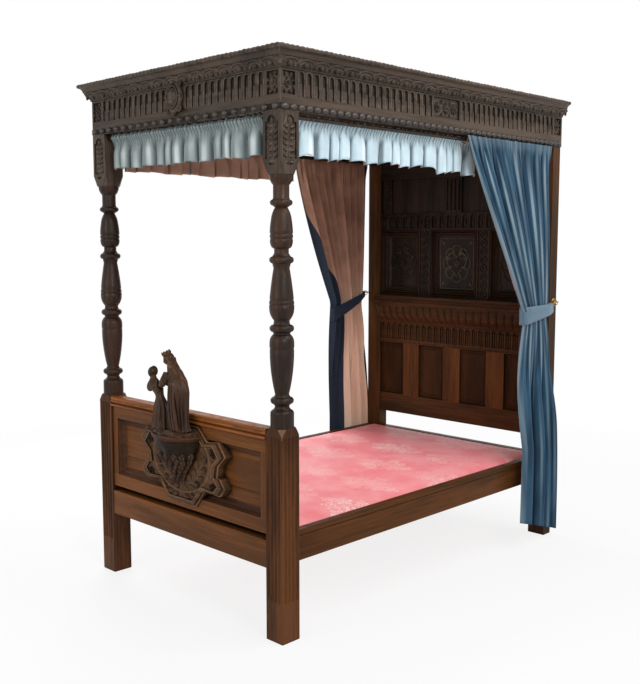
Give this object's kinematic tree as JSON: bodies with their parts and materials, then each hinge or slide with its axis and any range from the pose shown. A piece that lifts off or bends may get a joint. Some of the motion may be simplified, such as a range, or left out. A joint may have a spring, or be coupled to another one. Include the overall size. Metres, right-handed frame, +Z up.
{
  "type": "four-poster bed",
  "caption": "Four-poster bed in carved oak with a panelled headboard, footboard cartouche, moulded canopy, gathered pelmets, sliding tied-back velvet curtains and a damask base.",
  "frame": {"origin": "floor level under the middle of the whole bed's outline", "axes": "+Z up; +Y from the footboard to the headboard; +X to the right of someone who looks from the foot to the head"},
  "size_m": [1.376, 2.135, 2.3],
  "materials": {
    "canopy_oak": "aged dark oak, waxed, dust in the carving",
    "post_oak": "aged dark oak, waxed, warmer on the legs",
    "headboard_oak": "aged dark brown oak, waxed",
    "carved_oak": "carved dark oak, waxed",
    "footboard_oak": "red-brown oak, waxed",
    "plain_timber": "plain sawn timber",
    "brass": "aged brass",
    "iron": "black wrought iron",
    "blue_velvet": "blue velvet with a brown lining and navy borders",
    "pale_satin": "pale blue satin with a brown lining",
    "pink_damask": "pink damask with pale flowers"
  },
  "bodies": {
    "frame": {"bead_mouldings": "canopy_oak", "bed_slats": "plain_timber", "brass_rods": "brass", "canopy_corner_blocks": "plain_timber", "cartouche_board": "carved_oak", "cartouche_bracket": "carved_oak", "carved_figure_small": "carved_oak", "carved_figure_tall": "carved_oak", "cornice_mouldings": "canopy_oak", "figure_plinth": "carved_oak", "foot_rail": "footboard_oak", "footboard_bottom_rail": "footboard_oak", "footboard_cap": "footboard_oak", "footboard_panel": "footboard_oak", "footboard_panel_moulding": "footboard_oak", "footboard_stiles": "footboard_oak", "footboard_top_rail": "footboard_oak", "frieze_back": "canopy_oak", "frieze_boss": "canopy_oak", "frieze_front": "canopy_oak", "frieze_left": "canopy_oak", "frieze_right": "canopy_oak", "front_post_left": "post_oak", "front_post_right": "post_oak", "head_post_left": "post_oak", "head_post_right": "post_oak", "head_rail": "headboard_oak", "headboard_arcaded_rail": "headboard_oak", "headboard_bottom_rail": "headboard_oak", "headboard_gadroon_moulding": "headboard_oak", "headboard_guilloche_stiles": "headboard_oak", "headboard_lower_muntins": "headboard_oak", "headboard_lower_panels": "headboard_oak", "headboard_middle_panels": "headboard_oak", "headboard_nulled_rail": "headboard_oak", "headboard_panel_mouldings": "headboard_oak", "headboard_shelf": "headboard_oak", "headboard_shelf_rail": "headboard_oak", "headboard_strapwork_rosette": "headboard_oak", "headboard_top_muntins": "headboard_oak", "headboard_top_panels": "headboard_oak", "headboard_top_rail": "headboard_oak", "mattress_base": "pink_damask", "pelmet_front": "pale_satin", "pelmet_left": "pale_satin", "pelmet_right": "pale_satin", "post_irons": "iron", "rod_sockets": "brass", "side_rail_irons": "iron", "side_rail_left": "footboard_oak", "side_rail_right": "footboard_oak", "slat_ledgers": "plain_timber", "tester_boards": "plain_timber", "tieback_hooks": "brass"},
    "right_curtain": {"curtain_right": "blue_velvet", "curtain_rings_right": "brass", "tieback_right": "blue_velvet"},
    "left_curtain": {"curtain_left": "blue_velvet", "curtain_rings_left": "brass", "tieback_left": "blue_velvet"}
  },
  "joints": [
    {"name": "right_curtain_draw", "type": "slide", "parent": "frame", "child": "right_curtain", "axis": [0, -1, 0], "range_m": [0, 1.04]},
    {"name": "left_curtain_draw", "type": "slide", "parent": "frame", "child": "left_curtain", "axis": [0, -1, 0], "range_m": [0, 1.19]}
  ]
}
